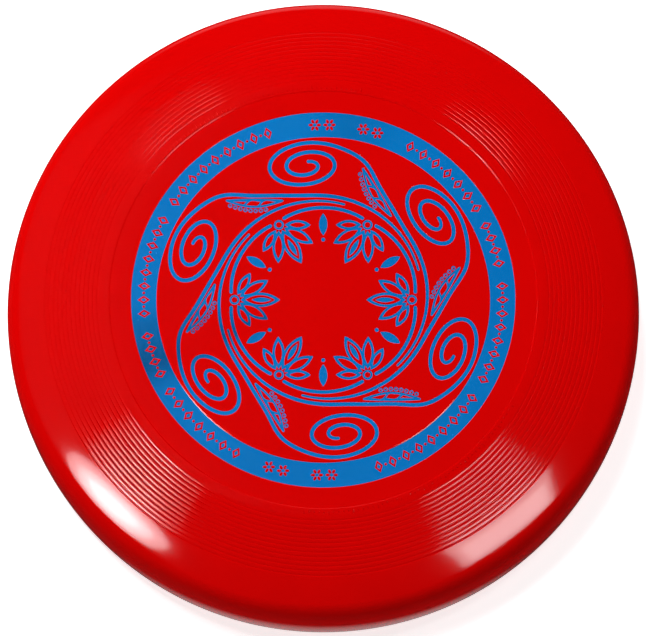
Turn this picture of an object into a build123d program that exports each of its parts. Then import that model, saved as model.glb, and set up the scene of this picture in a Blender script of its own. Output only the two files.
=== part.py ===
from build123d import *

import math
import os

# Flying disc: one injection-moulded polyethylene shell, decorated with hot-stamped foil.
#
# Row frame, in millimetres: +Z points up when the disc lies on its rim, and the origin is the
# centre of the circle on which the rim rests. All angles are in degrees, counted from +X.

# ---- driving dimensions of the moulding --------------------------------------------------
outer_radius = 120.0
height = 27.2  # rest plane to the top of the flat middle panel
wall = 1.6  # flight plate thickness
panel_radius = 80.8  # flat middle panel, which ends in a fine step up
panel_step = 0.2
field_start = 84.4  # ridge field: a gentle arc that carries the grooves
field_slope = 6.5  # below horizontal, at the start of the field
field_arc_radius = 260.0
field_end = 106.2
groove_count = 13
groove_pitch = 1.66
first_groove_radius = 85.3
groove_width = 0.96
groove_depth = 0.2
shoulder_radius = 150.0  # smooth shoulder outside the ridges
shoulder_sweep = 3.6
wall_arc_radius = 40.0  # outside of the rim, below its widest circle
wall_sweep = 17.0
foot_inner_radius = 111.8  # inner edge of the flat ring on which the disc rests
lip_radius = 1.0  # rounding inside the foot
bead_height = 4.0  # top of the straight part of the rim's inner bead
bead_top = 13.5  # where the bead has run out into the inner wall
inner_radius = 115.9  # inner wall above the bead
underside_arc_radius = 97.0
underside_sweep = 15.0
underside_shoulder_sweep = 2.4
gate_radius = 4.0  # vestige of the moulding gate, under the plate
gate_height = 0.6

# ---- driving dimensions of the foil ------------------------------------------------------
foil_thickness = 0.05
foil_sink = 0.15  # depth of the pocket that the stamping die presses into the panel
bold_line = 1.5
fine_line = 0.85
sectors = 6  # repeats of the ornament round the disc

band_inner = 63.2
band_outer = 72.8
band_middle = (band_inner + band_outer) / 2
band_halves = (0, 180)
run_spans = ((31.5, 61.0), (12.0, 25.0), (-27.0, 4.5), (-72.0, -34.0))  # rows of lozenges
lozenge_pitch = 4.55
lozenge_size = (4.8, 3.2)  # along the radius, and round the band
island_size = (2.4, 1.56)
dot_radius = 0.5
rosette_angles = (72.4, 77.1, 88.0, 92.7)
petal_count = 6
petal_offset = 1.5
petal_size = (0.85, 0.55)

volute_radius = 52.4  # middle of each volute
volute_angle = 97.0
volute_length = 31.0
volute_depth = 17.8
volute_turns = 1.95
volute_eye = 0.19  # share of its full size at which a volute starts
run_radius = 40.5  # closest approach of the straight runs to the centre
run_angle = 30.0
run_length = 38.0
bend_points = ((60.4, 88.0), (58.9, 82.0))  # radius and angle, between volute and run
tail_sweep = 72.0
tail_drop = 2.6

pod_start = 15.5  # ribbed leaf beside each run, measured along the run
pod_end = 36.5
pod_gap = 2.0
pod_bow = 2.4
pod_ribs = (0.35, 0.6)
rib_lean = 2.0
pearl_count = 8
pearl_radius = 0.82
pearl_hole_radius = 0.38
pearl_gap = 0.28
pearl_margins = (6.2, 1.2)  # from the pod's two tips

knot_radius = 33.6  # knots of the wreath
knot_size = 1.9
knot_line = 0.8
palmette_leaves = ((0, 15.0, 5.6), (31, 12.6, 4.6), (-31, 12.6, 4.6), (60, 9.8, 3.8), (-60, 9.8, 3.8))
leaf_gap = 0.35
leaf_line = 0.95
leaf_tip = 1.9
core_start = 6.5
core_size = (7.4, 1.9)
festoon_points = ((35.0, 5.0), (35.6, 17.0), (35.8, 30.0), (35.6, 43.0), (35.0, 55.0))
festoon_line = 1.35
drop_size = (8.6, 3.2)
bud_ring = 23.4
bud_radius = 0.75

os.makedirs("parts", exist_ok=True)


def polar(radius, angle):
    """Point at a radius and an angle in the plane of the disc."""
    return Vector(radius * math.cos(math.radians(angle)), radius * math.sin(math.radians(angle)))


# ---- flat outlines of the foil -----------------------------------------------------------
def stroke(centres, widths):
    """Outline of a pen line through the centres, with a width at each and round ends."""
    left, right, headings = [], [], []
    for i, centre in enumerate(centres):
        before = centres[max(i - 1, 0)]
        after = centres[min(i + 1, len(centres) - 1)]
        heading = (after - before).normalized()
        sideways = Vector(-heading.Y, heading.X) * (widths[i] / 2)
        left.append(centre + sideways)
        right.append(centre - sideways)
        headings.append(heading)
    with BuildSketch(mode=Mode.PRIVATE) as pen:
        with BuildLine():
            Spline(*left)
            Spline(*right)
            ThreePointArc(left[0], centres[0] - headings[0] * (widths[0] / 2), right[0])
            ThreePointArc(left[-1], centres[-1] + headings[-1] * (widths[-1] / 2), right[-1])
        make_face()
    return pen.sketch


def lens(length, width):
    """Pointed leaf on the +X axis, from the origin to its tip."""
    with BuildSketch(mode=Mode.PRIVATE) as leaf:
        with BuildLine():
            ThreePointArc((0, 0), (length / 2, width / 2), (length, 0))
            ThreePointArc((0, 0), (length / 2, -width / 2), (length, 0))
        make_face()
    return leaf.sketch


def lozenge(size):
    """Four-cornered diamond, with its long axis on X."""
    half_x, half_y = size[0] / 2, size[1] / 2
    with BuildSketch(mode=Mode.PRIVATE) as diamond:
        with BuildLine():
            Polyline((half_x, 0), (0, half_y), (-half_x, 0), (0, -half_y), close=True)
        make_face()
    return diamond.sketch


def lozenge_rows():
    """Angles of the lozenges in one half of the band, one list for each row."""
    rows = []
    for low, high in run_spans:
        steps = round((high - low) / lozenge_pitch)
        rows.append([low + (high - low) * i / steps for i in range(steps + 1)])
    return rows


def lozenge_places():
    """Where the lozenges of the whole band lie, turned to face the centre."""
    angles = [angle + half for half in band_halves for row in lozenge_rows() for angle in row]
    return [Location(polar(band_middle, angle), (0, 0, angle)) for angle in angles]


def dot_places():
    """Points halfway between neighbouring lozenges."""
    places = []
    for half in band_halves:
        for row in lozenge_rows():
            for low, high in zip(row, row[1:]):
                places.append(polar(band_middle, (low + high) / 2 + half))
    return places


def run_point(along, inward):
    """Point measured back along a straight run, and square to it towards the centre."""
    return polar(run_radius - inward, run_angle) + polar(along, run_angle + 90)


def scroll_arm():
    """One wave of a running scroll: a volute, its straight run and a tail round the wreath."""
    middle = polar(volute_radius, volute_angle)
    onward = polar(volute_length / 2, volute_angle - 90)
    outward = polar(volute_depth / 2, volute_angle)
    volute_steps, run_steps, tail_steps = 40, 4, 7
    centres, widths = [], []
    for i in range(volute_steps + 1):
        share = i / volute_steps
        size = volute_eye + (1 - volute_eye) * share
        turn = math.radians(90 + 360 * volute_turns * (1 - share))
        centres.append(middle + onward * (size * math.cos(turn)) + outward * (size * math.sin(turn)))
        widths.append(bold_line * min(1, 0.8 + share))
    for radius, angle in bend_points:
        centres.append(polar(radius, angle))
        widths.append(bold_line)
    for i in range(run_steps + 1):
        centres.append(run_point(run_length * (1 - i / run_steps), 0))
        widths.append(bold_line)
    for i in range(1, tail_steps + 1):
        share = i / tail_steps
        centres.append(polar(run_radius - tail_drop * share, run_angle - tail_sweep * share))
        widths.append(bold_line - (bold_line - fine_line) * share)
    return stroke(centres, widths)


def pod_swell(along):
    """Fullness of the pod leaf: 0 at its two tips and 1 in its middle."""
    return math.sin(math.pi * (along - pod_start) / (pod_end - pod_start))


def pod_leaf():
    """Slim ribbed leaf that lies beside a straight run."""
    steps = 8
    places = [pod_start + (pod_end - pod_start) * i / steps for i in range(steps + 1)]
    bowed = [run_point(along, pod_gap + pod_bow * pod_swell(along)) for along in places]
    straight = [run_point(along, pod_gap) for along in places]
    with BuildSketch(mode=Mode.PRIVATE) as leaf:
        add(stroke(bowed, [fine_line] * len(places)))
        add(stroke(straight, [fine_line] * len(places)))
        for share in pod_ribs:
            along = pod_start + (pod_end - pod_start) * share
            foot = run_point(along, pod_gap)
            crest = run_point(along + rib_lean, pod_gap + pod_bow * pod_swell(along + rib_lean))
            add(stroke([foot, (foot + crest) / 2, crest], [fine_line] * 3))
    return leaf.sketch


def pearl_places():
    """Centres of the pearls that follow the bowed side of a pod leaf."""
    clear = pod_gap + fine_line / 2 + pearl_radius + pearl_gap
    low = pod_start + pearl_margins[0]
    high = pod_end - pearl_margins[1]
    places = []
    for i in range(pearl_count):
        along = low + (high - low) * i / (pearl_count - 1)
        places.append(run_point(along, clear + pod_bow * pod_swell(along)))
    return places


def palmette():
    """Fan of five outlined leaves that opens from a knot towards the centre of the disc."""
    root = Vector(knot_radius, 0)
    with BuildSketch(mode=Mode.PRIVATE) as fan:
        for lean, length, width in palmette_leaves:
            heading = 180 + lean
            with Locations(Location(root + polar(knot_size + leaf_gap, heading), (0, 0, heading))):
                add(lens(length, width))
            hollow = root + polar(knot_size + leaf_gap + leaf_tip, heading)
            with Locations(Location(hollow, (0, 0, heading))):
                add(lens(length - 2 * leaf_tip, width - 2 * leaf_line), mode=Mode.SUBTRACT)
        with Locations(Location((knot_radius - core_start, 0), (0, 0, 180))):
            add(lens(*core_size))
    return fan.sketch


with BuildSketch() as band_art:
    Circle(band_outer)
    Circle(band_inner, mode=Mode.SUBTRACT)
    with Locations(*lozenge_places()):
        add(lozenge(lozenge_size), mode=Mode.SUBTRACT)
    with Locations(*dot_places()):
        Circle(dot_radius, mode=Mode.SUBTRACT)
    with Locations(*[polar(band_middle, angle + half) for half in band_halves for angle in rosette_angles]):
        with PolarLocations(petal_offset, petal_count):
            Ellipse(*petal_size, mode=Mode.SUBTRACT)

with BuildSketch() as lozenge_art:
    with Locations(*lozenge_places()):
        add(lozenge(island_size))

with BuildSketch() as scroll_art:
    with PolarLocations(0, sectors):
        add(scroll_arm())

with BuildSketch() as pod_art:
    with PolarLocations(0, sectors):
        add(pod_leaf())

with BuildSketch() as pearl_art:
    with PolarLocations(0, sectors):
        with Locations(*pearl_places()):
            Circle(pearl_radius)
            Circle(pearl_hole_radius, mode=Mode.SUBTRACT)

with BuildSketch() as palmette_art:
    with PolarLocations(0, sectors):
        add(palmette())

with BuildSketch() as festoon_art:
    with PolarLocations(0, sectors):
        add(stroke([polar(*point) for point in festoon_points], [festoon_line] * len(festoon_points)))
    with PolarLocations(knot_radius, sectors):
        Circle(knot_size)
        Circle(knot_size - knot_line, mode=Mode.SUBTRACT)

with BuildSketch() as drop_art:
    with PolarLocations(knot_radius, sectors, start_angle=180 / sectors):
        with Locations(Location((0, 0), (0, 0, 180))):
            add(lens(*drop_size))
    with PolarLocations(bud_ring, sectors, start_angle=180 / sectors):
        Circle(bud_radius)

with BuildSketch() as all_art:
    for art in (band_art, lozenge_art, scroll_art, pod_art, pearl_art, palmette_art, festoon_art, drop_art):
        add(art.sketch)


# ---- moulding ----------------------------------------------------------------------------
def field_point(radius, depth=0.0):
    """Point of the ridge field's arc at a radius, or this far under it."""
    slope = math.radians(field_slope)
    start_height = height + panel_step - (field_start - panel_radius) * math.tan(slope / 2)
    middle_radius = field_start - field_arc_radius * math.sin(slope)
    middle_height = start_height - field_arc_radius * math.cos(slope)
    rise = math.sqrt(field_arc_radius**2 - (radius - middle_radius) ** 2)
    return (radius, middle_height + rise - depth)


def turning_radius(start, reach, slope):
    """Radius of the arc that turns from a slope at start to vertical at reach."""
    return (reach - start) / (1 - math.sin(math.radians(slope)))


field_end_sine = (field_end - field_start) / field_arc_radius + math.sin(math.radians(field_slope))
field_end_slope = math.degrees(math.asin(field_end_sine))
foil_plane = Plane.XY.offset(height - foil_sink)

with BuildPart() as disc_moulding:
    with BuildSketch(Plane.XZ):
        with BuildLine():
            # top: panel, step, grooves, shoulder
            panel = Line((0, height), (panel_radius, height))
            step = Line(panel @ 1, (panel_radius + panel_step, height + panel_step))
            last = step @ 1
            for i in range(groove_count):
                middle = first_groove_radius + groove_pitch * i
                near = field_point(middle - groove_width / 2)
                far = field_point(middle + groove_width / 2)
                Line(last, near)
                ThreePointArc(near, field_point(middle, groove_depth), far)
                last = far
            land = Line(last, field_point(field_end))
            heading = (math.cos(math.radians(field_end_slope)), -math.sin(math.radians(field_end_slope)))
            shoulder = JernArc(land @ 1, heading, shoulder_radius, -shoulder_sweep)
            # outside of the rim, down to the foot
            slope = field_end_slope + shoulder_sweep
            corner_radius = turning_radius((shoulder @ 1).X, outer_radius, slope)
            corner = JernArc(shoulder @ 1, shoulder % 1, corner_radius, slope - 90)
            outside = JernArc(corner @ 1, corner % 1, wall_arc_radius, -wall_sweep)
            foot_radius = turning_radius(0, (outside @ 1).Y, wall_sweep)
            foot = JernArc(outside @ 1, outside % 1, foot_radius, wall_sweep - 90)
            # inside of the rim
            rest = Line(foot @ 1, (foot_inner_radius, 0))
            lip = JernArc(rest @ 1, (-1, 0), lip_radius, -90)
            bead = Line(lip @ 1, (foot_inner_radius - lip_radius, bead_height))
            flare = Spline(bead @ 1, (inner_radius, bead_top), tangents=((0, 1), (0, 1)))
            # underside, from the middle out to the inner wall
            under = Line((0, height - wall), (panel_radius, height - wall))
            under_field = JernArc(under @ 1, (1, 0), underside_arc_radius, -underside_sweep)
            under_shoulder = JernArc(
                under_field @ 1, under_field % 1, shoulder_radius, -underside_shoulder_sweep
            )
            slope = underside_sweep + underside_shoulder_sweep
            corner_radius = turning_radius((under_shoulder @ 1).X, inner_radius, slope)
            under_corner = JernArc(under_shoulder @ 1, under_shoulder % 1, corner_radius, slope - 90)
            Line(flare @ 1, under_corner @ 1)
            Line(under @ 0, panel @ 0)
        make_face()
    revolve(axis=Axis.Z)
    with BuildSketch(Plane.XY.offset(height - wall - gate_height)):
        Circle(gate_radius)
    extrude(amount=gate_height + wall / 2)
    with BuildSketch(foil_plane):
        add(all_art.sketch)
    extrude(amount=foil_sink, mode=Mode.SUBTRACT, clean=False)


# ---- foil --------------------------------------------------------------------------------
with BuildPart() as foil_band:
    with BuildSketch(foil_plane):
        add(band_art.sketch)
    extrude(amount=foil_thickness)

with BuildPart() as foil_lozenges:
    with BuildSketch(foil_plane):
        add(lozenge_art.sketch)
    extrude(amount=foil_thickness)

with BuildPart() as foil_scrolls:
    with BuildSketch(foil_plane):
        add(scroll_art.sketch)
    extrude(amount=foil_thickness)

with BuildPart() as foil_pod_leaves:
    with BuildSketch(foil_plane):
        add(pod_art.sketch)
    extrude(amount=foil_thickness)

with BuildPart() as foil_pearls:
    with BuildSketch(foil_plane):
        add(pearl_art.sketch)
    extrude(amount=foil_thickness)

with BuildPart() as foil_palmettes:
    with BuildSketch(foil_plane):
        add(palmette_art.sketch)
    extrude(amount=foil_thickness)

with BuildPart() as foil_festoons:
    with BuildSketch(foil_plane):
        add(festoon_art.sketch)
    extrude(amount=foil_thickness)

with BuildPart() as foil_drops:
    with BuildSketch(foil_plane):
        add(drop_art.sketch)
    extrude(amount=foil_thickness)

# ---- files -------------------------------------------------------------------------------
disc_moulding.part.label = "disc_moulding"
foil_band.part.label = "foil_band"
foil_lozenges.part.label = "foil_lozenges"
foil_scrolls.part.label = "foil_scrolls"
foil_pod_leaves.part.label = "foil_pod_leaves"
foil_pearls.part.label = "foil_pearls"
foil_palmettes.part.label = "foil_palmettes"
foil_festoons.part.label = "foil_festoons"
foil_drops.part.label = "foil_drops"

export_step(disc_moulding.part, "parts/disc_moulding.step")
export_step(foil_band.part, "parts/foil_band.step")
export_step(foil_lozenges.part, "parts/foil_lozenges.step")
export_step(foil_scrolls.part, "parts/foil_scrolls.step")
export_step(foil_pod_leaves.part, "parts/foil_pod_leaves.step")
export_step(foil_pearls.part, "parts/foil_pearls.step")
export_step(foil_palmettes.part, "parts/foil_palmettes.step")
export_step(foil_festoons.part, "parts/foil_festoons.step")
export_step(foil_drops.part, "parts/foil_drops.step")
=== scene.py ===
"""Looks of the flying disc: a finely turned red shell, the pressed-in blue foil, studio and camera.

Everything is in metres, in the frame's own axes: +Z up, origin in the middle of the rest plane.
"""

import math

import bmesh
import bpy
from mathutils import Matrix, Vector
from mathutils.geometry import delaunay_2d_cdt, intersect_line_line_2d


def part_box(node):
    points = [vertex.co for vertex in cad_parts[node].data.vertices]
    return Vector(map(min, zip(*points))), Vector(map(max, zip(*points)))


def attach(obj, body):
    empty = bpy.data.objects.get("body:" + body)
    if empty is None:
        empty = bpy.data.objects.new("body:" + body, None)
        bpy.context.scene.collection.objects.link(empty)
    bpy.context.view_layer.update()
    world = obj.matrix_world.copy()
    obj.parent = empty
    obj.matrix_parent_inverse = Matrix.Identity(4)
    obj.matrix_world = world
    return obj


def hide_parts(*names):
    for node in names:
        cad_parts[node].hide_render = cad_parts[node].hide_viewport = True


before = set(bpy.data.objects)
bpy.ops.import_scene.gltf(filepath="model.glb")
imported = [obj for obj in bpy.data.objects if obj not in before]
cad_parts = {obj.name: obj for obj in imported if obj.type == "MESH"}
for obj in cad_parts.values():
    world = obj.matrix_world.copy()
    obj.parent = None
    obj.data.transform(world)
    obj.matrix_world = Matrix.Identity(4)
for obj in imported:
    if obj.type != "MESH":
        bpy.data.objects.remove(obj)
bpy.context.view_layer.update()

MM = 0.001
BODY = "root"
SHELL_NODE = "disc_moulding"
FOIL_NODES = [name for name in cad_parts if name.startswith("foil_")]

disc_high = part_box(SHELL_NODE)[1]
OUTER = disc_high[0] / MM
band_low, band_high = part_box("foil_band")
FOIL_TOP = band_high[2] / MM
FOIL_BASE = band_low[2] / MM

# the shell's profile in millimetres and degrees, as the moulding is designed
PANEL_STEP = 0.2
PANEL_TOP = disc_high[2] / MM - PANEL_STEP
PANEL_RADIUS = 80.8
STEP_FOOT_ARC = 0.5
STEP_HEAD_ARC = 0.7
STEP_SWEEP = 30.0
STEP_WIDTH = 0.6  # what the two arcs reach outwards together
LEDGE_RISE = PANEL_STEP * 0.8  # what they rise together; the ledge falls back to the ridge field
WALL = 1.6
FIELD_START = 84.4
FIELD_END = 106.2
FIELD_SLOPE = 6.5
FIELD_ARC = 260.0
GROOVES = 13
GROOVE_PITCH = 1.66
FIRST_GROOVE = 85.3
GROOVE_WIDTH = 1.35
GROOVE_LOW = 0.75  # the lowest place, as a share of the width
GROOVE_DEPTH = 0.12
GROOVE_EDGE = 0.04  # land beside a groove that keeps the field's own slope
FALL_STEPS = 7
FALL_POWER = 3.0
RISE_STEPS = 5
RISE_POWER = 1.5
SHOULDER_ARC = 150.0
SHOULDER_SWEEP = 3.6
WALL_ARC = 40.0
WALL_SWEEP = 17.0
FOOT_INNER = 111.8
LIP_RADIUS = 1.0
BEAD_HEIGHT = 4.0
BEAD_TOP = 13.5
INNER = 115.9
UNDER_ARC = 97.0
UNDER_SWEEP = 15.0
UNDER_SHOULDER_SWEEP = 2.4
GATE_RADIUS = 4.0
GATE_HEIGHT = 0.6
GATE_EDGE_ARC = 0.3
GATE_ROOT_ARC = 0.2
SEGMENTS = 360


# ---- the turned profile ------------------------------------------------------------------
class Pen:
    """Draws a profile of (radius, height) points, in millimetres and degrees."""

    def __init__(self, radius, height, heading=0.0):
        self.points = [(radius, height)]
        self.heading = heading

    def line_to(self, radius, height, steps=1):
        r0, z0 = self.points[-1]
        for i in range(1, steps + 1):
            share = i / steps
            self.points.append((r0 + (radius - r0) * share, z0 + (height - z0) * share))
        self.heading = math.degrees(math.atan2(height - z0, radius - r0))

    def arc(self, radius, sweep, steps):
        """Turns by sweep degrees, left when it is positive."""
        r0, z0 = self.points[-1]
        side = 1 if sweep > 0 else -1
        start = math.radians(self.heading)
        middle = (r0 - side * radius * math.sin(start), z0 + side * radius * math.cos(start))
        for i in range(1, steps + 1):
            angle = start + math.radians(sweep) * i / steps
            out, down = side * radius * math.sin(angle), side * radius * math.cos(angle)
            self.points.append((middle[0] + out, middle[1] - down))
        self.heading += sweep


def field_height(radius):
    """Height of the ridge field without its grooves."""
    slope = math.radians(FIELD_SLOPE)
    start = PANEL_TOP + PANEL_STEP - (FIELD_START - PANEL_RADIUS) * math.tan(slope / 2)
    middle = FIELD_START - FIELD_ARC * math.sin(slope)
    return start - FIELD_ARC * math.cos(slope) + math.sqrt(FIELD_ARC**2 - (radius - middle) ** 2)


def groove():
    """Places across a groove and the depths there, as shares of its width and full depth: a long
    fall outwards, then a short and steeper rise."""
    fall = [k / FALL_STEPS for k in range(FALL_STEPS)]
    rise = [k / RISE_STEPS for k in range(RISE_STEPS, -1, -1)]
    outwards = [(GROOVE_LOW * share, share**FALL_POWER) for share in fall]
    return outwards + [(1 - (1 - GROOVE_LOW) * share, share**RISE_POWER) for share in rise]


def turning_radius(start, reach, slope):
    """Radius of the arc that turns from a slope at start to vertical at reach."""
    return (reach - start) / (1 - math.sin(math.radians(slope)))


def outer_profile():
    """From the edge of the flat panel over the shoulder and round the rim to the foot."""
    pen = Pen(PANEL_RADIUS, PANEL_TOP)
    pen.arc(STEP_FOOT_ARC, STEP_SWEEP, 6)
    pen.arc(STEP_HEAD_ARC, -STEP_SWEEP, 6)
    pen.line_to(FIELD_START, field_height(FIELD_START), 4)
    for i in range(GROOVES):
        low = FIRST_GROOVE + GROOVE_PITCH * i - GROOVE_WIDTH / 2
        pen.points.append((low - GROOVE_EDGE, field_height(low - GROOVE_EDGE)))
        for across, down in groove():
            radius = low + GROOVE_WIDTH * across
            pen.points.append((radius, field_height(radius) - GROOVE_DEPTH * down))
        high = low + GROOVE_WIDTH
        pen.points.append((high + GROOVE_EDGE, field_height(high + GROOVE_EDGE)))
    pen.points.append((FIELD_END, field_height(FIELD_END)))
    end_sine = (FIELD_END - FIELD_START) / FIELD_ARC + math.sin(math.radians(FIELD_SLOPE))
    pen.heading = -math.degrees(math.asin(end_sine))
    pen.arc(SHOULDER_ARC, -SHOULDER_SWEEP, 8)
    slope = -pen.heading
    pen.arc(turning_radius(pen.points[-1][0], OUTER, slope), slope - 90, 24)
    pen.arc(WALL_ARC, -WALL_SWEEP, 12)
    pen.arc(turning_radius(0, pen.points[-1][1], WALL_SWEEP), WALL_SWEEP - 90, 20)
    return pen.points


def inner_profile():
    """From the foot up the inside of the rim and along the underside to the gate's vestige."""
    up = Pen(FOOT_INNER, 0.0, 180.0)
    up.arc(LIP_RADIUS, -90, 6)
    up.line_to(FOOT_INNER - LIP_RADIUS, BEAD_HEIGHT, 3)
    r0, r1 = FOOT_INNER - LIP_RADIUS, INNER
    flare_steps = 14
    for i in range(1, flare_steps + 1):
        share = i / flare_steps
        ease = share * share * (3 - 2 * share)
        up.points.append((r0 + (r1 - r0) * ease, BEAD_HEIGHT + (BEAD_TOP - BEAD_HEIGHT) * share))
    out = Pen(0.0, PANEL_TOP - WALL - GATE_HEIGHT)
    out.line_to(GATE_RADIUS - GATE_EDGE_ARC, PANEL_TOP - WALL - GATE_HEIGHT, 2)
    out.arc(GATE_EDGE_ARC, 90, 4)
    out.line_to(GATE_RADIUS, PANEL_TOP - WALL - GATE_ROOT_ARC)
    out.arc(GATE_ROOT_ARC, -90, 3)
    out.line_to(PANEL_RADIUS, PANEL_TOP - WALL, 12)
    out.arc(UNDER_ARC, -UNDER_SWEEP, 12)
    out.arc(SHOULDER_ARC, -UNDER_SHOULDER_SWEEP, 4)
    slope = -out.heading
    out.arc(turning_radius(out.points[-1][0], INNER, slope), slope - 90, 12)
    return up.points + out.points[::-1]


# ---- outlines of the foil, read from the frame -------------------------------------------
CLOSE = 0.03  # points of an outline nearer than this are one point
SAME = 1e-5  # points of a sheet nearer than this are one point
CORNER = math.radians(50)  # a sharper turn is a corner
SPACING = 0.45  # of the extra points along a curve
MITER_LIMIT = 0.1  # keeps the offset of an acute corner short
FISHTAIL = 8  # longest fishtail, in points
WELD = 1e-7


def top_loops(node):
    """Closed outlines of a foil node's top faces, foil on the left, in millimetres."""
    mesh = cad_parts[node].data
    spots = {}
    index = []
    for vertex in mesh.vertices:
        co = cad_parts[node].matrix_world @ vertex.co
        key = (round(co.x / MM, 4), round(co.y / MM, 4), round(co.z / MM, 3))
        index.append(spots.setdefault(key, len(spots)))
    places = list(spots)
    top = max(place[2] for place in places)
    edges = {}
    for polygon in mesh.polygons:
        ring = [index[i] for i in polygon.vertices]
        if min(places[i][2] for i in ring) < top - 0.001:
            continue
        for a, b in zip(ring, ring[1:] + ring[:1]):
            edges[(a, b)] = edges.get((a, b), 0) + 1
    follow = {a: b for a, b in edges if (b, a) not in edges}
    loops = []
    while follow:
        start, spot = follow.popitem()
        loop = [start]
        while spot != start:
            loop.append(spot)
            spot = follow.pop(spot)
        points = [Vector(places[i][:2]) for i in loop]
        loops.append([p for i, p in enumerate(points) if (p - points[i - 1]).length > CLOSE])
    return loops


def rounded(loop):
    """The same outline with extra points along its curves, and its sharp corners kept."""
    count = len(loop)
    sharp = []
    for i in range(count):
        into = loop[i] - loop[i - 1]
        out = loop[(i + 1) % count] - loop[i]
        sharp.append(abs(into.angle_signed(out, 0.0)) > CORNER)
    result = []
    for i in range(count):
        p1, p2 = loop[i], loop[(i + 1) % count]
        chord = p2 - p1
        result.append(p1)
        steps = int(chord.length / SPACING)
        both_sharp = sharp[i] and sharp[(i + 1) % count]
        if steps < 2 or both_sharp:
            continue
        p0 = loop[i - 1] if not sharp[i] else p1 - chord
        p3 = loop[(i + 2) % count] if not sharp[(i + 1) % count] else p2 + chord
        slope1 = tangent(p0, p1, p2) * chord.length
        slope2 = tangent(p1, p2, p3) * chord.length
        for k in range(1, steps):
            s = k / steps
            h1, h2 = 2 * s**3 - 3 * s**2 + 1, s**3 - 2 * s**2 + s
            h3, h4 = 3 * s**2 - 2 * s**3, s**3 - s**2
            result.append(p1 * h1 + slope1 * h2 + p2 * h3 + slope2 * h4)
    return result


def tangent(before, here, after):
    """Unit tangent at here of the circle through the three points."""
    a, b = here - before, after - here
    blend = a / max(a.length_squared, 1e-9) + b / max(b.length_squared, 1e-9)
    return blend.normalized()


def moved_out(loop, distance):
    """The outline moved to its right, away from the foil."""
    count = len(loop)
    result = []
    for i in range(count):
        a = (loop[i] - loop[i - 1]).normalized()
        b = (loop[(i + 1) % count] - loop[i]).normalized()
        normal = Vector((a.y + b.y, -a.x - b.x))
        scale = max(normal.length_squared / 2, MITER_LIMIT)
        result.append(loop[i] + normal * (distance / scale))
    return untangled(result)


def untangled(loop):
    """The outline with each small fishtail pulled to a point. A fishtail is where an offset
    overruns an acute corner."""
    count = len(loop)
    for i in range(count):
        for k in range(2, FISHTAIL):
            j = (i + k) % count
            here, there = (loop[i], loop[(i + 1) % count]), (loop[j], loop[(j + 1) % count])
            cross = intersect_line_line_2d(*here, *there)
            if cross and k < count - 2:
                for m in range(1, k + 1):
                    loop[(i + m) % count] = cross
    return loop


def flat_region(loops, wanted_parity, rim=None):
    """Triangles between outlines: parity 0 is outside every outline, 1 is inside one of them."""
    points, edges = [], []
    for loop in ([rim] if rim else []) + loops:
        start = len(points)
        points.extend(p for i, p in enumerate(loop) if (p - loop[i - 1]).length > SAME)
        count = len(points) - start
        edges.extend((start + i, start + (i + 1) % count) for i in range(count))
    verts, _, faces, orig_verts, _, _ = delaunay_2d_cdt(points, edges, [], 0, WELD, True)
    if len(verts) != len(points):
        raise RuntimeError(f"foil outlines cross: {len(points)} points became {len(verts)}")
    back = [ids[0] for ids in orig_verts]
    walls = {frozenset(edge) for edge in edges}
    rim_walls = {frozenset(edge) for edge in edges[: len(rim)]} if rim else set()
    triangles = [[back[i] for i in face] for face in faces]
    sides = {}
    for number, triangle in enumerate(triangles):
        for a, b in zip(triangle, triangle[1:] + triangle[:1]):
            sides.setdefault(frozenset((a, b)), []).append(number)
    parity = [None] * len(triangles)
    queue = []
    for side, owners in sides.items():
        if len(owners) == 1:
            parity[owners[0]] = 0 if rim or side not in walls else 1
            queue.append(owners[0])
    while queue:
        number = queue.pop()
        triangle = triangles[number]
        for a, b in zip(triangle, triangle[1:] + triangle[:1]):
            side = frozenset((a, b))
            flip = side in walls and side not in rim_walls
            for other in sides[side]:
                if parity[other] is None:
                    parity[other] = parity[number] ^ flip
                    queue.append(other)
    return points, [t for t, side in zip(triangles, parity) if side == wanted_parity]


LEVEL = 0.99999  # a face is level when its normal rises this much
MERGE = 2e-7  # metres


def mesh_piece(name, verts, faces, material):
    """Makes a piece from points in millimetres, and has it ride on the disc.
    Its level faces are shaded flat, and all others smooth."""
    mesh = bpy.data.meshes.new(name)
    mesh.from_pydata([Vector(v) * MM for v in verts], [], faces)
    mesh.validate()
    piece = bpy.data.objects.new(name, mesh)
    bpy.context.scene.collection.objects.link(piece)
    edit = bmesh.new()
    edit.from_mesh(mesh)
    bmesh.ops.remove_doubles(edit, verts=edit.verts, dist=MERGE)
    bmesh.ops.recalc_face_normals(edit, faces=edit.faces)
    edit.to_mesh(mesh)
    edit.free()
    for polygon in mesh.polygons:
        polygon.use_smooth = abs(polygon.normal.z) < LEVEL
    mesh.materials.append(material)
    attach(piece, BODY)
    return piece


# ---- materials ---------------------------------------------------------------------------
MIX_FIRST, MIX_SECOND, MIX_RESULT = 6, 7, 2  # the colour sockets of a mix node
RED_TINTS = ((0.62, 0.0, 0.0, 1.0), (0.66, 0.0, 0.0, 1.0))
RED_ROUGHNESS = (0.05, 0.085)
SCUFF_RANGE = (0.3, 0.7)  # what the scuffs' noise mostly spans
SCUFF_STRETCH = (1.0, 0.06, 1.0)
SCUFF_TURN = 0.6
RED_BLEED = (1.0, 0.1, 0.05)  # red light travels farthest inside the plastic
BLUE_TINTS = ((0.0, 0.185, 0.58, 1.0), (0.0, 0.235, 0.69, 1.0))
BLUE_ROUGHNESS = (0.2, 0.3)
WHITE = (1.0, 1.0, 1.0, 1.0)
# painted shade on the stamped film: how much of its colour it keeps, by azimuth in degrees; the
# darker bands stand in for darker reflections
FOIL_PAINTED_SHADE = (
    (60, 1.0), (80, 0.84), (100, 1.0), (179, 1.0), (190, 0.7), (200, 0.5), (212, 0.95), (230, 1.0)
)


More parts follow.
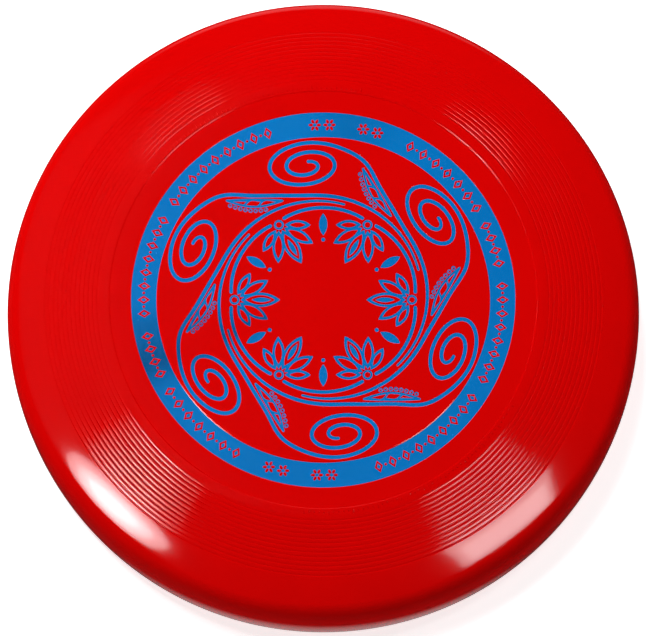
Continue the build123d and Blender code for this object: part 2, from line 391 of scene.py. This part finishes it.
class Nodes:
    """Small helper for building a material's node tree."""

    def __init__(self, name):
        self.material = bpy.data.materials.new(name)
        self.material.use_nodes = True
        self.tree = self.material.node_tree
        self.shader = self.tree.nodes["Principled BSDF"]

    def add(self, kind, **settings):
        node = self.tree.nodes.new(kind)
        for key, value in settings.items():
            if key in node.inputs:
                node.inputs[key].default_value = value
            else:
                setattr(node, key, value)
        return node

    def link(self, source, target):
        self.tree.links.new(source, target)

    def spread(self, source, result, span=(0.0, 1.0)):
        """Output that maps the span of source to the range of result."""
        node = self.add("ShaderNodeMapRange")
        values = {"From Min": span[0], "From Max": span[1], "To Min": result[0], "To Max": result[1]}
        for key, value in values.items():
            node.inputs[key].default_value = value
        self.link(source, node.inputs["Value"])
        return node.outputs["Result"]

    def mixed(self, factor, tints):
        """Output that drifts between two colours with factor."""
        node = self.add("ShaderNodeMix", data_type="RGBA")
        node.inputs[MIX_FIRST].default_value, node.inputs[MIX_SECOND].default_value = tints
        self.link(factor, node.inputs["Factor"])
        return node.outputs[MIX_RESULT]


def plastic_material():
    """Glossy red polyethylene with a slight orange peel and hairline scuffs."""
    n = Nodes("red_polyethylene")
    place = n.add("ShaderNodeTexCoord")
    peel = n.add("ShaderNodeTexNoise", Scale=420.0, Detail=2.0, Roughness=0.5)
    waves = n.add("ShaderNodeTexNoise", Scale=60.0, Detail=1.0)
    scuffs = n.add("ShaderNodeTexNoise", Scale=900.0, Detail=4.0, Roughness=0.7)
    stretch = n.add("ShaderNodeMapping")
    stretch.inputs["Scale"].default_value = SCUFF_STRETCH
    stretch.inputs["Rotation"].default_value = (0.0, 0.0, SCUFF_TURN)
    for texture in (peel, waves):
        n.link(place.outputs["Object"], texture.inputs["Vector"])
    n.link(place.outputs["Object"], stretch.inputs["Vector"])
    n.link(stretch.outputs["Vector"], scuffs.inputs["Vector"])
    gloss = n.spread(scuffs.outputs["Fac"], RED_ROUGHNESS, SCUFF_RANGE)
    n.link(gloss, n.shader.inputs["Roughness"])
    n.link(n.mixed(waves.outputs["Fac"], RED_TINTS), n.shader.inputs["Base Color"])
    coarse = n.add("ShaderNodeBump", Strength=0.002, Distance=0.0005)
    fine = n.add("ShaderNodeBump", Strength=0.02, Distance=0.00005)
    n.link(waves.outputs["Fac"], coarse.inputs["Height"])
    n.link(peel.outputs["Fac"], fine.inputs["Height"])
    n.link(coarse.outputs["Normal"], fine.inputs["Normal"])
    n.link(fine.outputs["Normal"], n.shader.inputs["Normal"])
    n.shader.inputs["IOR"].default_value = 1.5
    n.shader.inputs["Subsurface Weight"].default_value = 0.12
    n.shader.inputs["Subsurface Radius"].default_value = RED_BLEED
    n.shader.inputs["Subsurface Scale"].default_value = 0.0012
    return n.material


def foil_material():
    """Satin metallic blue foil with the faint mottle of a stamped film and a random drift of tone,
    plus painted shade that darkens it at some azimuths round the disc, standing in for darker
    reflections."""
    n = Nodes("blue_foil")
    place = n.add("ShaderNodeTexCoord")
    mottle = n.add("ShaderNodeTexNoise", Scale=240.0, Detail=3.0, Roughness=0.6)
    drift = n.add("ShaderNodeTexNoise", Scale=16.0, Detail=1.0)
    for texture in (mottle, drift):
        n.link(place.outputs["Object"], texture.inputs["Vector"])
    # painted shade: a ramp by azimuth darkens the foil's colour in bands round the disc, standing in
    # for darker reflections
    angle = n.add("ShaderNodeTexGradient", gradient_type="RADIAL")
    n.link(place.outputs["Object"], angle.inputs["Vector"])
    painted_shade_ramp = n.add("ShaderNodeValToRGB")
    painted_shade_ramp.color_ramp.interpolation = "EASE"
    painted_shade_ramp.color_ramp.elements.remove(painted_shade_ramp.color_ramp.elements[1])
    painted_shade_ramp.color_ramp.elements[0].color = WHITE
    for azimuth, tone in FOIL_PAINTED_SHADE:
        stop = painted_shade_ramp.color_ramp.elements.new((azimuth / 360 + 0.5) % 1.0)
        stop.color = (tone, tone, tone, 1.0)
    n.link(angle.outputs["Fac"], painted_shade_ramp.inputs["Fac"])
    shade = n.add("ShaderNodeMix", data_type="RGBA", blend_type="MULTIPLY", Factor=1.0)
    n.link(n.mixed(drift.outputs["Fac"], BLUE_TINTS), shade.inputs[MIX_FIRST])
    n.link(painted_shade_ramp.outputs["Color"], shade.inputs[MIX_SECOND])
    n.link(shade.outputs[MIX_RESULT], n.shader.inputs["Base Color"])
    n.link(n.spread(mottle.outputs["Fac"], BLUE_ROUGHNESS), n.shader.inputs["Roughness"])
    bump = n.add("ShaderNodeBump", Strength=0.12, Distance=0.00004)
    n.link(mottle.outputs["Fac"], bump.inputs["Height"])
    n.link(bump.outputs["Normal"], n.shader.inputs["Normal"])
    n.shader.inputs["Metallic"].default_value = 0.3
    return n.material


# ---- pieces ------------------------------------------------------------------------------
LIP_WIDTH = 0.14  # of a pocket's rolled edge
LIP_WIDTHS = {
    "foil_scrolls": 0.18,
    "foil_pearls": 0.08,
    "foil_pod_leaves": 0.1,
    "foil_palmettes": 0.1,
    "foil_festoons": 0.12,
}
WIDE_LIP = 0.38  # along the two round edges of the band
ROUND = 0.1  # an outline is round when its radius varies less than this
LIP_SHAPE = ((1.0, 0.0), (0.85, 0.1), (0.5, 0.45), (0.15, 0.8), (0.0, 1.0))  # shares: width, depth


def lip_width(node, loop):
    """Width of the rolled edge round one outline of a foil node."""
    radii = [p.length for p in loop]
    if node == "foil_band" and max(radii) - min(radii) < ROUND:
        return WIDE_LIP
    return LIP_WIDTHS.get(node, LIP_WIDTH)


def build_shell(outlines, material):
    """The whole moulding as one closed mesh, with a rounded pocket under every patch of foil."""
    angles = [2 * math.pi * k / SEGMENTS for k in range(SEGMENTS)]
    turn = [(math.cos(angle), math.sin(angle)) for angle in angles]
    rim = [Vector((PANEL_RADIUS * c, PANEL_RADIUS * s)) for c, s in turn]
    verts, faces = [], []

    def ring(loop, height):
        start = len(verts)
        verts.extend((p.x, p.y, height) for p in loop)
        return list(range(start, start + len(loop)))

    def bridge(a, b):
        for i in range(len(a)):
            k = (i + 1) % len(a)
            faces.append((a[i], a[k], b[k], b[i]))

    def sheet(points, triangles, height):
        start = len(verts)
        verts.extend((p[0], p[1], height) for p in points)
        faces.extend([start + i for i in triangle] for triangle in triangles)

    edge_loops, foil_loops = [], []
    depth = PANEL_TOP - FOIL_TOP
    for node, loops in outlines.items():
        for loop in loops:
            width = lip_width(node, loop)
            rings = [
                ring(moved_out(loop, width * out) if out else loop, PANEL_TOP - depth * down)
                for out, down in LIP_SHAPE
            ]
            rings.append(ring(loop, FOIL_BASE))
            for upper, lower in zip(rings, rings[1:]):
                bridge(upper, lower)
            edge_loops.append(moved_out(loop, width))
            foil_loops.append(loop)
    points, triangles = flat_region(edge_loops, 0, rim)
    sheet(points, triangles, PANEL_TOP)
    points, triangles = flat_region(foil_loops, 1)
    sheet(points, triangles, FOIL_BASE)

    *profile, (_, middle_height) = outer_profile() + inner_profile()
    turned = [ring([Vector((radius * c, radius * s)) for c, s in turn], z) for radius, z in profile]
    for upper, lower in zip(turned, turned[1:]):
        bridge(upper, lower)
    middle = len(verts)
    verts.append((0.0, 0.0, middle_height))
    last = turned[-1]
    faces.extend((a, b, middle) for a, b in zip(last, last[1:] + last[:1]))
    return mesh_piece("disc_shell", verts, faces, material)


FILM_EDGE = math.radians(40)  # a sharper edge of the film stays crisp


def build_foil(node, loops, material):
    """One foil node as a thin closed film in its pocket."""
    points, triangles = flat_region(loops, 1)
    count = len(points)
    verts = [(p[0], p[1], FOIL_TOP) for p in points] + [(p[0], p[1], FOIL_BASE) for p in points]
    faces = [list(t) for t in triangles] + [[i + count for i in reversed(t)] for t in triangles]
    start = 0
    for loop in loops:
        for i in range(len(loop)):
            a, b = start + i, start + (i + 1) % len(loop)
            faces.append((a, b, b + count, a + count))
        start += len(loop)
    piece = mesh_piece(node + "_film", verts, faces, material)
    piece.data.set_sharp_from_angle(angle=FILM_EDGE)
    return piece


TICK_ARCS = ((80, 145), (265, 330))  # degrees round the panel
TICK_STEP = 1.3  # degrees
TICK_LONG_EVERY = 5
TICK_INNER = 81.8
TICK_LONG = 1.7
TICK_SHORT = 1.0
TICK_WIDTH = 0.42
TICK_HEIGHT = 0.14
TICK_ROOT = 0.06  # how far it stands in the moulding
TICK_CELLS = 4


def ledge_height(radius):
    """Height of the ledge between the step and the ridge field."""
    share = (FIELD_START - radius) / (FIELD_START - PANEL_RADIUS - STEP_WIDTH)
    return PANEL_TOP + LEDGE_RISE * share


def tick_points(azimuth, length):
    """A grid over one small raised pillow, and the middle of its hidden base."""
    points = []
    for i in range(TICK_CELLS + 1):
        radius = TICK_INNER + length * i / TICK_CELLS
        for j in range(TICK_CELLS + 1):
            u, v = 2 * i / TICK_CELLS - 1, 2 * j / TICK_CELLS - 1
            rise = (TICK_HEIGHT + TICK_ROOT) * (1 - u**4) * (1 - v**2) - TICK_ROOT
            angle = azimuth + v * TICK_WIDTH / 2 / radius
            height = ledge_height(radius) + rise
            points.append((radius * math.cos(angle), radius * math.sin(angle), height))
    radius = TICK_INNER + length / 2
    base = ledge_height(radius) - TICK_ROOT
    return points + [(radius * math.cos(azimuth), radius * math.sin(azimuth), base)]


def build_ticks(material):
    """A fine moulded graduation on the ledge outside the panel: small raised pillows."""
    verts, faces = [], []
    cells, row = TICK_CELLS, TICK_CELLS + 1
    border = [(0, j) for j in range(cells)] + [(i, cells) for i in range(cells)]
    border += [(cells, j) for j in range(cells, 0, -1)] + [(i, 0) for i in range(cells, 0, -1)]
    for first, last in TICK_ARCS:
        for number in range(int((last - first) / TICK_STEP) + 1):
            start = len(verts)
            length = TICK_SHORT if number % TICK_LONG_EVERY else TICK_LONG
            verts += tick_points(math.radians(first + number * TICK_STEP), length)
            for i in range(cells):
                for j in range(cells):
                    a = start + i * row + j
                    faces.append((a, a + row, a + row + 1, a + 1))
            edge = [start + i * row + j for i, j in border]
            faces += [(a, b, start + row * row) for a, b in zip(edge, edge[1:] + edge[:1])]
    return mesh_piece("mould_ticks", verts, faces, material)


red = plastic_material()
blue = foil_material()
outlines = {node: [rounded(loop) for loop in top_loops(node)] for node in FOIL_NODES}
shell = build_shell(outlines, red)
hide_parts(SHELL_NODE)
build_ticks(red)
for node, loops in outlines.items():
    film = build_foil(node, loops, blue)
    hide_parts(node)


# ---- studio ------------------------------------------------------------------------------
# name: azimuth, elevation, distance, width, depth, radiance, turn, shape
MIRRORED_LIGHTS = {
    "key_left": (171.5, 67.2, 1.29, 0.21, 0.34, 7, 226, "ELLIPSE"),
    "key_left_middle": (171.5, 67.2, 1.28, 0.14, 0.25, 7, 226, "ELLIPSE"),
    "key_left_core": (171.5, 67.2, 1.27, 0.08, 0.17, 7, 226, "ELLIPSE"),
    "key_right": (4.2, 70.6, 1.29, 0.19, 0.3, 6.5, 309, "RECTANGLE"),
    "key_right_core": (3.6, 70.3, 1.28, 0.11, 0.25, 4, 309, "RECTANGLE"),
}
FILL = (125, 55, 1.6, 1.0, 1.0, 8.8, 0, "RECTANGLE")  # lights the disc, but isn't mirrored
FLOOR_HALF = 4.0
FLOOR_DROP = 0.0002  # keeps the floor just clear of the foot
FLOOR_GREY = (0.93, 0.93, 0.93, 1.0)
FLOOR_LIFT = (0.3, 0.8)  # emission for other rays, and for the camera
WORLD_GLOW = (0.02, 0.55)  # strength all round, and in the full glows
BACKDROP = (0.92, 0.99)  # where the glow behind the disc sets in and is full, in a direction's Y
BELOW = (-0.95, -1.0)  # the same for the glow from below, in a direction's Z


def soft_box(name, azimuth, elevation, distance, width, depth, radiance, turn, shape):
    """Studio light aimed at the middle of the disc, its width laid along the azimuth turn."""
    a, e, t = math.radians(azimuth), math.radians(elevation), math.radians(turn)
    back = Vector((math.cos(e) * math.cos(a), math.cos(e) * math.sin(a), math.sin(e)))
    upward = back.cross(Vector((math.cos(t), math.sin(t), 0.0))).normalized()
    across = upward.cross(back)
    light = bpy.data.lights.new(name, "AREA")
    light.shape = shape
    light.size = width
    light.size_y = depth
    light.energy = math.pi * width * depth * radiance
    lamp = bpy.data.objects.new(name, light)
    lamp.location = back * distance
    lamp.rotation_euler = Matrix((across, upward, back)).transposed().to_euler()
    bpy.context.scene.collection.objects.link(lamp)
    return lamp


def build_floor():
    """Plain pale floor, wide enough to fill every view."""
    corners = [(-1, -1), (1, -1), (1, 1), (-1, 1)]
    mesh = bpy.data.meshes.new("studio_floor")
    mesh.from_pydata([(x * FLOOR_HALF, y * FLOOR_HALF, 0) for x, y in corners], [], [(0, 1, 2, 3)])
    floor = bpy.data.objects.new("studio_floor", mesh)
    floor.location.z = -FLOOR_DROP
    bpy.context.scene.collection.objects.link(floor)
    n = Nodes("studio_floor")
    n.shader.inputs["Base Color"].default_value = FLOOR_GREY
    n.shader.inputs["Roughness"].default_value = 0.9
    n.shader.inputs["Specular IOR Level"].default_value = 0.1
    n.shader.inputs["Emission Color"].default_value = WHITE
    path = n.add("ShaderNodeLightPath")
    lift = n.spread(path.outputs["Is Camera Ray"], FLOOR_LIFT)
    n.link(lift, n.shader.inputs["Emission Strength"])
    mesh.materials.append(n.material)
    floor.visible_glossy = False


def build_world():
    """Dim surroundings, with a pale backdrop low behind the disc and pale light from below it.
    The camera itself sees plain white."""
    world = bpy.data.worlds.new("studio")
    world.use_nodes = True
    tree = world.node_tree
    place = tree.nodes.new("ShaderNodeTexCoord")
    parts = tree.nodes.new("ShaderNodeSeparateXYZ")
    tree.links.new(place.outputs["Generated"], parts.inputs["Vector"])
    path = tree.nodes.new("ShaderNodeLightPath")
    brightest = path.outputs["Is Camera Ray"]
    for axis, (start, full) in (("Y", BACKDROP), ("Z", BELOW)):
        ramp = tree.nodes.new("ShaderNodeMapRange")
        ramp.interpolation_type = "SMOOTHSTEP"
        ramp.inputs["From Min"].default_value = start
        ramp.inputs["From Max"].default_value = full
        ramp.inputs["To Min"].default_value, ramp.inputs["To Max"].default_value = WORLD_GLOW
        tree.links.new(parts.outputs[axis], ramp.inputs["Value"])
        larger = tree.nodes.new("ShaderNodeMath")
        larger.operation = "MAXIMUM"
        tree.links.new(brightest, larger.inputs[0])
        tree.links.new(ramp.outputs["Result"], larger.inputs[1])
        brightest = larger.outputs["Value"]
    background = tree.nodes["Background"]
    background.inputs["Color"].default_value = WHITE
    tree.links.new(brightest, background.inputs["Strength"])
    bpy.context.scene.world = world


build_floor()
build_world()
for name, values in MIRRORED_LIGHTS.items():
    soft_box(name, *values)
soft_box("fill", *FILL).visible_glossy = False


# ---- camera ------------------------------------------------------------------------------
VIEW_TILT = math.radians(26.1)
FILM_TILT = math.radians(3.1)
CAMERA_DISTANCE = 4.0
LENS = 585.0
AIM = Vector((0.67 * MM, -7.1 * MM, PANEL_TOP * MM))


def build_camera():
    """A long view-camera lens: it looks down at VIEW_TILT from the vertical with its film plane
    swung to FILM_TILT, so the disc shows as nearly round while its near wall still shows.
    The swing is a squash of the camera's parent along Z."""
    view_slope, film_slope = math.tan(VIEW_TILT), math.tan(FILM_TILT)
    squash = math.sqrt(film_slope / view_slope)
    stand = bpy.data.objects.new("camera_stand", None)
    stand.scale = (1.0, 1.0, squash)
    bpy.context.scene.collection.objects.link(stand)
    camera = bpy.data.cameras.new("camera")
    camera.lens = LENS
    camera.sensor_width = 36.0
    camera.clip_end = 20.0
    place = AIM + Vector((0.0, -math.sin(VIEW_TILT), math.cos(VIEW_TILT))) * CAMERA_DISTANCE
    eye = bpy.data.objects.new("camera", camera)
    eye.parent = stand
    eye.location = (place.x, place.y, place.z / squash)
    eye.rotation_euler = (math.atan(math.sqrt(film_slope * view_slope)), 0.0, 0.0)
    bpy.context.scene.collection.objects.link(eye)
    bpy.context.scene.camera = eye


build_camera()
bpy.context.scene.view_settings.view_transform = "Standard"
